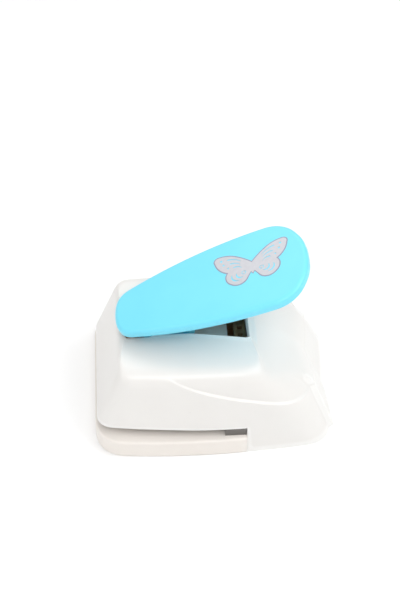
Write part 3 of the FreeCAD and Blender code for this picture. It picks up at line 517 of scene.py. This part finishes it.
def well_point(column):
    """Where a column meets the well's edge."""
    name, t = column
    wide, mouth, small = WELL_HALF[0][1], WELL_HALF[-1][1], WELL_CORNER
    if name == "left":
        return Vector((WELL_LEFT, t * (wide - small)))
    if name == "corner":
        a = math.radians(90 * t)
        return Vector((WELL_LEFT + small - small * math.cos(a), wide - small + small * math.sin(a)))
    if name == "turn":
        a = math.radians(90 * t)
        return Vector((WELL_RIGHT - small + small * math.sin(a),
                       mouth - WELL_TUCK - small + small * math.cos(a)))
    if name == "end":
        return Vector((WELL_RIGHT, (mouth - WELL_TUCK - small) * (1 - t)))
    if name == "slot":
        x = lerp(WELL_LEFT + small, WELL_MIDDLE, t)
    else:
        x = lerp(WELL_MIDDLE, WELL_RIGHT - small, t)
    (x0, y0), (x1, y1) = next(span for span in zip(WELL_HALF, WELL_HALF[1:]) if x <= span[1][0])
    return Vector((x, lerp(y0, y1, (x - x0) / (x1 - x0))))


def top_profile(index, cols):
    """The plateau's rounding: start height, drop, lean over that drop, reach and plan normal."""
    reach = edge_reach(cols[index])
    normal = outward(index, cols, TOP_Z)
    step, least_lean = 2, 0.02
    high, low = outline_point(cols[index], TOP_Z + step), outline_point(cols[index], TOP_Z - step)
    lean = max(least_lean, (low - high).dot(normal) / (2 * step))
    drop = reach / math.sqrt(1 + lean * lean)
    return PLATEAU - drop, drop, lean * drop, reach, normal


def plateau_height(x, y):
    """The plateau's slight dish, falling off a little towards the slope."""
    return PLATEAU - DISH * (1 - smooth(*DISH_HALF, abs(y))) - FALL * max(0.0, x - FALL_START) ** 2


def base_profile(index, cols):
    """A column of the skin without its styling line: fine steps from the slot's level to the well."""
    level, drop, lean, reach, normal = top_profile(index, cols)
    column = cols[index]
    wall = [(outline_point(column, z), z, WALL_WEIGHT)
            for z in (lerp(SLOT_TOP, level, k / WALL_STEPS) for k in range(WALL_STEPS + 1))]
    start, edge = wall[-1][0], well_point(column)
    run = edge - start
    total = max(0.5, -run.dot(normal))
    top = []
    for k in range(1, TOP_STEPS + 1):
        f = k / TOP_STEPS
        d = f * total
        flat = start + run * f
        if d >= lean + reach:
            z = PLATEAU
        else:
            tau = (math.sqrt(lean * lean + (reach - lean) * d) - lean) / (reach - lean)
            z = PLATEAU - drop * (1 - clamp(tau)) ** 2
        z += (plateau_height(flat.x, flat.y) - PLATEAU) * smooth(0.25, 0.9, f)
        top.append((flat, z, ROUND_WEIGHT if d < lean + reach else FLAT_WEIGHT))
    return wall + top


def line_place(fine, places):
    """Where the styling line crosses a column, as a length up it."""
    over = [z - along(SWOOSH, p.x) for p, z, _ in fine]
    crossing = next((i for i, gap in enumerate(over) if gap >= 0), None)
    highest = next(i for i, (_, z, _) in enumerate(fine) if z >= PLATEAU - LINE_DEPTH)
    crossing = highest if crossing is None else max(LOWEST_STEP, min(crossing, highest))
    before, after = over[crossing - 1], over[crossing]
    part = clamp(-before / max(1e-6, after - before)) if crossing < highest else 1.0
    return lerp(places[crossing - 1], places[crossing], part)


def housing_column(index, cols):
    """One column of the housing's outer skin, from the floor to the well's edge."""
    fine = base_profile(index, cols)
    places = [0.0]
    for (p, z, _), (q, w, weight) in zip(fine, fine[1:]):
        places.append(places[-1] + weight * math.hypot((q - p).length, w - z))
    middle, last = line_place(fine, places), SPAN_ROWS - 1
    wanted = [lerp(0, middle - LINE_CLEAR, k / last) for k in range(SPAN_ROWS)]
    wanted += [middle + step for step in LINE_ROWS]
    wanted += [lerp(middle + LINE_CLEAR, places[-1], k / last) for k in range(SPAN_ROWS)]
    points = []
    for z in (SLOT_TOP * k / SLOT_ROWS for k in range(SLOT_ROWS)):
        flat = wall_point(index, cols, z)
        points.append((flat.x, flat.y, z))
    i = 0
    for place in wanted:
        while i < len(places) - 2 and places[i + 1] < place:
            i += 1
        t = clamp((place - places[i]) / max(1e-9, places[i + 1] - places[i]))
        (p, z, _), (q, w, _) = fine[i], fine[i + 1]
        flat, height = p.lerp(q, t), lerp(z, w, t)
        flat = flat + outward(index, cols, min(height, TOP_Z)) * proud(flat.x, height)
        points.append((flat.x, flat.y, height))
    return points


def soften_hip(half):
    """Round the hip between the side and the slope by averaging neighbouring columns above the line."""
    start = sum(COUNTS[name] for name in ("left", "corner", "slot")) + COUNTS["side"] // 2
    end = len(half) - COUNTS["end"] // 2
    first_row, last_row = SLOT_ROWS + SPAN_ROWS + len(LINE_ROWS) + 2, len(half[0]) - 1
    rounds, ease_low, ease_high = 14, 16, 6
    for _ in range(rounds):
        kept = [list(column) for column in half]
        for i in range(start, end):
            for row in range(first_row, last_row):
                weight = min(1.0, (row - first_row) / ease_low, (last_row - row) / ease_high)
                p = Vector(kept[i][row])
                mean = (Vector(kept[i - 1][row]) + Vector(kept[i + 1][row])) / 2
                half[i][row] = tuple(p.lerp(mean, 0.5 * weight))


def housing():
    """The white upper housing: leaning bowed walls, styling line, rounded plateau, well and slot."""
    cols = columns()
    half = [housing_column(i, cols) for i in range(len(cols))]
    soften_hip(half)
    ring = [[(x, -y, z) for x, y, z in column] for column in half]
    ring += [[(x, y, z) for x, y, z in column] for column in reversed(half[1:-1])]
    rows = [list(row) for row in zip(*ring)]
    first_right = sum(COUNTS[name] for name in ("left", "corner", "slot"))
    n = len(ring)
    verts, faces = grid(rows)
    kept = []
    for number, face in enumerate(faces):
        row, column = divmod(number, n)
        if row >= SLOT_ROWS or first_right <= column < n - first_right:
            kept.append(face)
    shell = new_object("housing_shell", verts, kept, WHITE)
    clean(shell, 0.02)
    modify(shell, "SOLIDIFY", thickness=WALL * MM, offset=-1.0, use_quality_normals=True,
           use_rim=True)
    apply_all(shell)
    for vertex in shell.data.vertices:
        floor = SLOT_TOP if vertex.co.x < (SEAM_X - 0.2) * MM else 0.0
        vertex.co.z = max(vertex.co.z, floor * MM)
    bevelled(shell, 0.5, angle=50, sharp=60)
    return shell


def turned(name, profile, x, y, material):
    """A turned piece about a vertical line through x, y, from (radius, z) corners."""
    count = 32
    rings = [[(p.x, p.y, z) for p in circle(x, y, r, count)] for r, z in profile]
    verts, faces = grid(rings + [rings[0]])
    obj = new_object(name, verts, faces, material)
    clean(obj)
    bevelled(obj, 0.2)
    return obj


def housing_posts():
    """The six moulded bosses that take the housing screws."""
    made = []
    for x, y, low in POSTS:
        for side in (-1, 1):
            profile = [(BOSS_BORE, low), (BOSS_RADIUS, low), (BOSS_RADIUS, BOSS_TOP),
                       (BOSS_BORE, BOSS_TOP)]
            made.append(turned("boss", profile, x, side * y, WHITE))
    return join(made, "housing_posts")


# ---------------------------------------------------------------- lever

def lever_space(u, v, w):
    """A point in the lever's own axes (along, across, up) at rest."""
    c, s = math.cos(LEVER_REST), math.sin(LEVER_REST)
    return Vector((PIVOT.x + u * c - w * s, v, PIVOT.z + u * s + w * c))


def cap_half():
    """Half of the lever's outline: round the heel, along the bowed side and round to the tip."""
    back, heel, wide = Vector((-5.3, 0.0)), Vector((0.5, 12.5)), Vector((66.0, 23.1))
    corner, tip = Vector((78.5, 16.0)), Vector((82.9, 0))
    side_radius, join_t = 205.0, 0.035
    sagitta = (wide - heel).length_squared / (8 * side_radius)
    normal = Vector((-(wide - heel).y, (wide - heel).x)).normalized()

    def side(t):
        return heel.lerp(wide, t) + normal * 4 * sagitta * t * (1 - t)

    def curve(start, first_handle, second_handle, end, count, total):
        return [bezier(start, start + first_handle, end - second_handle, end, i / count)
                for i in range(total)]

    lead = (side(join_t + 0.01) - side(join_t)).normalized()
    run = (wide - heel).normalized() * 1.0 - normal * 4 * sagitta / (wide - heel).length
    down = Vector((0.62, -1)).normalized()
    points = curve(back, Vector((0, 10.0)), lead * 4.4, side(join_t), 16, 16)
    points += [side(lerp(join_t, 1, i / 32)) for i in range(32)]
    points += curve(wide, run.normalized() * 5.6, down * 4.6, corner, 14, 14)
    points += curve(corner, down * 6.2, Vector((0, -7.0)), tip, 14, 15)
    return points


def cap_height(u, v):
    """Height of the lever's crowned top."""
    half = lerp(CAP_NARROW, CAP_BROAD, clamp(u / CAP_SPREAD))
    return CAP_TOP - CAP_CROWN * (v / half) ** 2 - CAP_FALL * ((u - CAP_MIDDLE) / CAP_LONG) ** 2


def cap_skin():
    """The lever's rim as rows of points: up the inside, round the skirt's edge and over the rolled rim."""
    half = cap_half()
    ring = [Vector((p.x, -p.y)) for p in half] + [p.copy() for p in reversed(half[1:-1])]
    n = len(ring)
    normals = []
    for i in range(n):
        run = ring[(i + 1) % n] - ring[i - 1]
        normals.append(Vector((run.y, -run.x)).normalized())
    low = CAP_TOP - CAP_DEPTH
    edge, roll_steps, lip_steps = 0.4, 12, 4

    def level_row(inset, w):
        return [(p.x - m.x * inset, p.y - m.y * inset, w) for p, m in zip(ring, normals)]

    def lip_row(k, start, turn):
        a = math.pi / 2 * k / lip_steps
        return level_row(start + turn * edge * (1 - math.cos(a)), low + edge * (1 - math.sin(a)))

    def roll(first, reach, drop, below):
        made = []
        for k in range(roll_steps + 1):
            a = math.pi / 2 * k / roll_steps
            row = []
            for p, m in zip(ring, normals):
                q = p - m * (first + reach * (1 - math.cos(a)))
                row.append((q.x, q.y, cap_height(q.x, q.y) - below - drop * (1 - math.sin(a))))
            made.append(row)
        return made

    inside = roll(CAP_WALL, CAP_ROUND - CAP_WALL, CAP_DROP - 0.9, CAP_WALL)
    lip = [level_row(CAP_WALL, low + edge + 0.3), level_row(CAP_WALL, low + edge)]
    lip += [lip_row(k, CAP_WALL, -1) for k in range(1, lip_steps + 1)]
    lip += [lip_row(k, 0.0, 1) for k in range(lip_steps, -1, -1)]
    outside = roll(0.0, CAP_ROUND, CAP_DROP, 0.0)
    return list(reversed(inside)) + lip + outside


def strips(verts, faces, first, row, below):
    """Close a rim row with strips that run straight across the lever from side to side."""
    n, across = len(row), 24
    before = [first]
    for i in range(1, n // 2):
        front, back = row[i], row[n - i]
        strip = [first + i]
        for k in range(1, across):
            u, v = lerp(front[0], back[0], k / across), lerp(front[1], back[1], k / across)
            strip.append(len(verts))
            verts.append((u, v, cap_height(u, v) - below))
        strip.append(first + n - i)
        if len(before) == 1:
            faces += [(before[0], strip[k], strip[k + 1]) for k in range(across)]
        else:
            faces += [(before[k], strip[k], strip[k + 1], before[k + 1]) for k in range(across)]
        before = strip
    faces += [(before[k], first + n // 2, before[k + 1]) for k in range(across)]


def lever_shell():
    """The crowned turquoise lever, a thin shell with a rolled rim."""
    rows = cap_skin()
    verts, faces = grid(rows)
    n = len(rows[-1])
    top = len(verts) - n
    strips(verts, faces, top, rows[-1], 0.0)
    strips(verts, faces, 0, rows[0], CAP_WALL)
    shell = new_object("lever_shell", [lever_space(*p) for p in verts], faces, TURQUOISE)
    clean(shell, 0.002)
    apply_all(shell, 60)
    return shell


def stem_outline(inset):
    """The stem's side outline, or its recessed panel's where inset is above 0."""
    centre = NOSE_ARM * Vector((math.cos(NOSE_ANGLE), math.sin(NOSE_ANGLE)))
    first, last = (-30, 14) if not inset else (-22, 10)
    nose = []
    for k in range(13):
        a = math.radians(lerp(first, last, k / 12))
        nose.append(centre + (NOSE_RADIUS - inset) * Vector((math.sin(a), -math.cos(a))))
    if inset:
        return [Vector((4.5, 3.5)), Vector((4.0, -2.5)), *nose, Vector((21.0, -13.0)),
                Vector((24.8, 3.5))]
    return [Vector((1.5, 5.6)), Vector((0.5, -2.2)), *nose, Vector((23.8, -14.2)),
            Vector((27.5, 5.6))]


def lever_stem():
    """The stem under the lever that presses the ram: a web between two recessed panels, with the hub."""
    def upright(u, w, v):
        return lever_space(u, v, w)

    outer = [(p.x, p.y) for p in stem_outline(0)]
    panel = [(p.x, p.y) for p in stem_outline(STEM_RECESS)]
    verts, faces = [], []
    n, m = len(outer), len(panel)
    for side in (-1, 1):
        base = len(verts)
        verts += [upright(u, w, side * STEM_HALF) for u, w in outer]
        verts += [upright(u, w, side * STEM_HALF) for u, w in panel]
        verts += [upright(u, w, side * STEM_WEB) for u, w in panel]
        faces += [(base + i, base + (i + 1) % n, base + n + (i + 1) % m, base + n + i)
                  for i in range(n)]
        faces += [(base + n + i, base + n + (i + 1) % m, base + n + m + (i + 1) % m,
                   base + n + m + i) for i in range(m)]
        faces.append(tuple(base + n + m + i for i in range(m)))
    back = n + 2 * m
    faces += [(i, (i + 1) % n, back + (i + 1) % n, back + i) for i in range(n)]
    stem = new_object("stem", verts, faces, TURQUOISE)
    clean(stem)
    bevelled(stem, 0.35, sharp=50)
    profile = ((PIN_BORE, -HUB_HALF), (HUB, -HUB_HALF), (HUB, HUB_HALF), (PIN_BORE, HUB_HALF))
    rings = [[upright(p.x, p.y, v) for p in circle(0, 0, radius, 40)] for radius, v in profile]
    verts, faces = grid(rings + [rings[0]])
    hub = new_object("hub", verts, faces, TURQUOISE)
    clean(hub)
    bevelled(hub, 0.3, sharp=50)
    return join([stem, hub], "lever_stem")


def rib(start, middle):
    """A rib under the lever's top, from u = start to RIB_END along v = middle."""
    low, count = CAP_TOP - CAP_DEPTH + 0.8, 12
    near, far = middle - RIB_HALF, middle + RIB_HALF
    rings = []
    for k in range(count):
        u = lerp(start, RIB_END, k / (count - 1))
        top = cap_height(u, abs(middle)) - 1.0
        rings.append([lever_space(u, near, low), lever_space(u, far, low),
                      lever_space(u, far, top), lever_space(u, near, top)])
    verts, faces = grid(rings)
    last = len(verts) - 4
    faces += [(0, 1, 2, 3), (last, last + 1, last + 2, last + 3)]
    obj = new_object("rib", verts, faces, TURQUOISE)
    clean(obj)
    bevelled(obj, 0.25)
    return obj


def lever_ribs():
    """Four long ribs under the lever's top."""
    return join([rib(start, side * half) for start, half in RIBS for side in (-1, 1)], "lever_ribs")


# ---------------------------------------------------------------- butterfly mark

def wing_loop(side):
    """One wing's outline, from the head to the tail."""
    points = []
    for (corner, via), (following, _) in zip(WING, WING[1:]):
        a, b = Vector(corner), Vector(following)
        points += [a] if via is None else arc_points(a, Vector(via), b, 12)
    points.append(Vector(WING[-1][0]))
    return [Vector((p.x * side, p.y)) for p in points]


def mark_outline():
    return wing_loop(1) + list(reversed(wing_loop(-1)[1:-1]))


def moved_out(loop, distance):
    """The loop moved outwards along its normals."""
    n = len(loop)
    area = sum(a.x * b.y - b.x * a.y for a, b in zip(loop, loop[1:] + loop[:1]))
    sign = 1 if area > 0 else -1
    out = []
    for i, p in enumerate(loop):
        before, after = (p - loop[i - 1]).normalized(), (loop[(i + 1) % n] - p).normalized()
        run = (before + after).normalized()
        out.append(p + Vector((run.y, -run.x)) * sign * distance)
    return out


def mark_point(p, w):
    """A point of the mark, w above the lever's crowned top."""
    q = MARK_AT + p * MARK_SCALE
    return lever_space(q.x, q.y, cap_height(q.x, q.y) + w)


def filled(name, loops, low, high, material):
    """A thin plate on the lever's top from an outline and its holes."""
    flat = [p for loop in loops for p in loop]
    count = len(flat)
    triangles = tessellate_polygon([[Vector((p.x, p.y, 0)) for p in loop] for loop in loops])
    verts = [mark_point(p, low) for p in flat] + [mark_point(p, high) for p in flat]
    faces = [tuple(t) for t in triangles] + [tuple(i + count for i in reversed(t)) for t in triangles]
    start = 0
    for loop in loops:
        n = len(loop)
        faces += [(start + i, start + (i + 1) % n, count + start + (i + 1) % n, count + start + i)
                  for i in range(n)]
        start += n
    obj = new_object(name, verts, faces, material)
    clean(obj, 0.001)
    obj.data.set_sharp_from_angle(angle=math.radians(30))
    return obj


def vein(inner, outer):
    """A bowed slot that widens outwards."""
    a, b = Vector(inner), Vector(outer)
    run = (b - a).normalized()
    across = Vector((-run.y, run.x))
    bow = across * VEIN_BOW

    def edge(t, side):
        return a.lerp(b, t) + bow * 4 * t * (1 - t) + across * side * lerp(VEIN_THIN, VEIN_THICK, t)

    return [edge(k / 10, 1) for k in range(11)] + [edge(k / 10, -1) for k in range(10, -1, -1)]


def curl(first, via, last):
    """A slot along an arc, widest at its middle."""
    count = 12
    middle = arc_points(Vector(first), Vector(via), Vector(last), count) + [Vector(last)]
    outer, inner = [], []
    for k, p in enumerate(middle):
        width = CURL_THIN + CURL_SWELL * math.sin(math.pi * k / count)
        run = (middle[min(count, k + 1)] - middle[max(0, k - 1)]).normalized()
        across = Vector((-run.y, run.x))
        outer.append(p + across * width)
        inner.append(p - across * width)
    return outer + list(reversed(inner))


def mark_slots(side):
    """The slots, dots and curls of one wing, as closed loops."""
    loops = [vein(inner, outer) for inner, outer in WING_SLOTS]
    loops += [circle(x, y, radius, 16) for x, y, radius in WING_DOTS]
    loops += [curl(*points) for points in WING_CURLS]
    return [[Vector((p.x * side, p.y)) for p in loop] for loop in loops]


def ring(side, radius):
    return circle(side * WING_RING.x, WING_RING.y, radius, 20)


def butterfly():
    """Silver foil with its cut details, and the fine lilac line round it."""
    outline = mark_outline()
    holes = mark_slots(1) + mark_slots(-1) + [ring(side, RING_HOLE) for side in (1, -1)]
    silver = filled("butterfly_foil", [outline] + holes, MARK_LOW, FOIL_HIGH, SILVER)
    eyes = join([filled("eye", [ring(side, RING_EYE)], MARK_LOW, FOIL_HIGH, SILVER)
                 for side in (1, -1)], "butterfly_eyes")
    outer = moved_out(outline, LINE_WIDTH)
    border = filled("butterfly_line", [outer, outline], MARK_LOW, LINE_HIGH, OUTLINE)
    return silver, eyes, border


# ---------------------------------------------------------------- build

shell = housing()
posts = housing_posts()
for piece in (shell, posts):
    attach(piece, "base")
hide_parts("upper_housing")
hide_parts("upper_housing")

cap = lever_shell()
stem = lever_stem()
ribs = lever_ribs()
for piece in (cap, stem, ribs):
    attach(piece, "lever")
    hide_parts("lever_cap")
for piece in butterfly():
    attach(piece, "lever")
    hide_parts("lever_motif")

FINISHES = {
    "base_tray": CREAM, "die_plate": GROUND, "guide_plate": ZINC, "throat_block": DARK,
    "throat_screws": SCREW, "die_screws": SCREW, "housing_screws": SCREW, "punch_block": GROUND,
    "ram_plate": ZINC, "press_pad": ZINC, "ram_screws": SCREW, "pad_screws": SCREW,
    "stop_bridge": ZINC, "rear_bracket": BROWN, "bridge_screws": BROWN, "pivot_pin": BRIGHT,
    "pin_clips": BRIGHT, "bracket_rivets": BRIGHT, "pivot_bracket_front": BROWN,
    "pivot_bracket_back": BROWN,
}
for name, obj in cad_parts.items():
    finish = FINISHES.get(name)
    if finish is None and name.startswith(("guide_post", "return_spring")):
        finish = BRIGHT
    if finish is None:
        continue
    obj.data.materials.clear()
    obj.data.materials.append(finish)


# ---------------------------------------------------------------- floor, light and camera

FLOOR_HALF = 3000.0      # in mm
WORLD_STRENGTH = 0.54
LIGHTS = [               # name, place in metres, diameter in metres, power in watts
    ("key", (0.42, -0.10, 0.62), 0.6, 2.4),
    ("fill", (-0.6, -0.25, 0.50), 0.7, 1.2),
    ("front", (0.0, -0.46, 0.68), 0.35, 1.45),
    ("back", (-0.1, 0.7, 0.7), 0.8, 1.8),
]
LIGHTS_AIM = Vector((0, 0, 0.03))
CAMERA_PLACE = (-0.0294, -0.3839, 0.4548)
CAMERA_TURN = (math.radians(44.0), 0.0, math.radians(-3.6))
LENS, SENSOR = 77.4, 36.0


def stage():
    """The pale floor, the even sky and the four soft lamps."""
    h = FLOOR_HALF
    floor = new_object("floor", [(-h, -h, 0), (h, -h, 0), (h, h, 0), (-h, h, 0)], [(0, 1, 2, 3)],
                       shade("pale_floor", (0.97, 0.97, 0.97), 0.9)[0])
    world = bpy.data.worlds.new("studio")
    bpy.context.scene.world = world
    world.use_nodes = True
    sky = world.node_tree.nodes["Background"]
    sky.inputs["Color"].default_value = (1.0, 1.0, 1.0, 1)
    sky.inputs["Strength"].default_value = WORLD_STRENGTH
    for name, place, size, power in LIGHTS:
        data = bpy.data.lights.new(name, "AREA")
        data.shape = "DISK"
        data.size = size
        data.energy = power
        lamp = bpy.data.objects.new(name, data)
        lamp.location = place
        lamp.rotation_euler = (LIGHTS_AIM - Vector(place)).to_track_quat("-Z", "Y").to_euler()
        bpy.context.scene.collection.objects.link(lamp)


def camera():
    data = bpy.data.cameras.new("camera")
    data.lens = LENS
    data.sensor_width = SENSOR
    obj = bpy.data.objects.new("camera", data)
    obj.location = CAMERA_PLACE
    obj.rotation_euler = CAMERA_TURN
    bpy.context.scene.collection.objects.link(obj)
    bpy.context.scene.camera = obj


stage()
camera()
bpy.context.scene.view_settings.view_transform = "Standard"
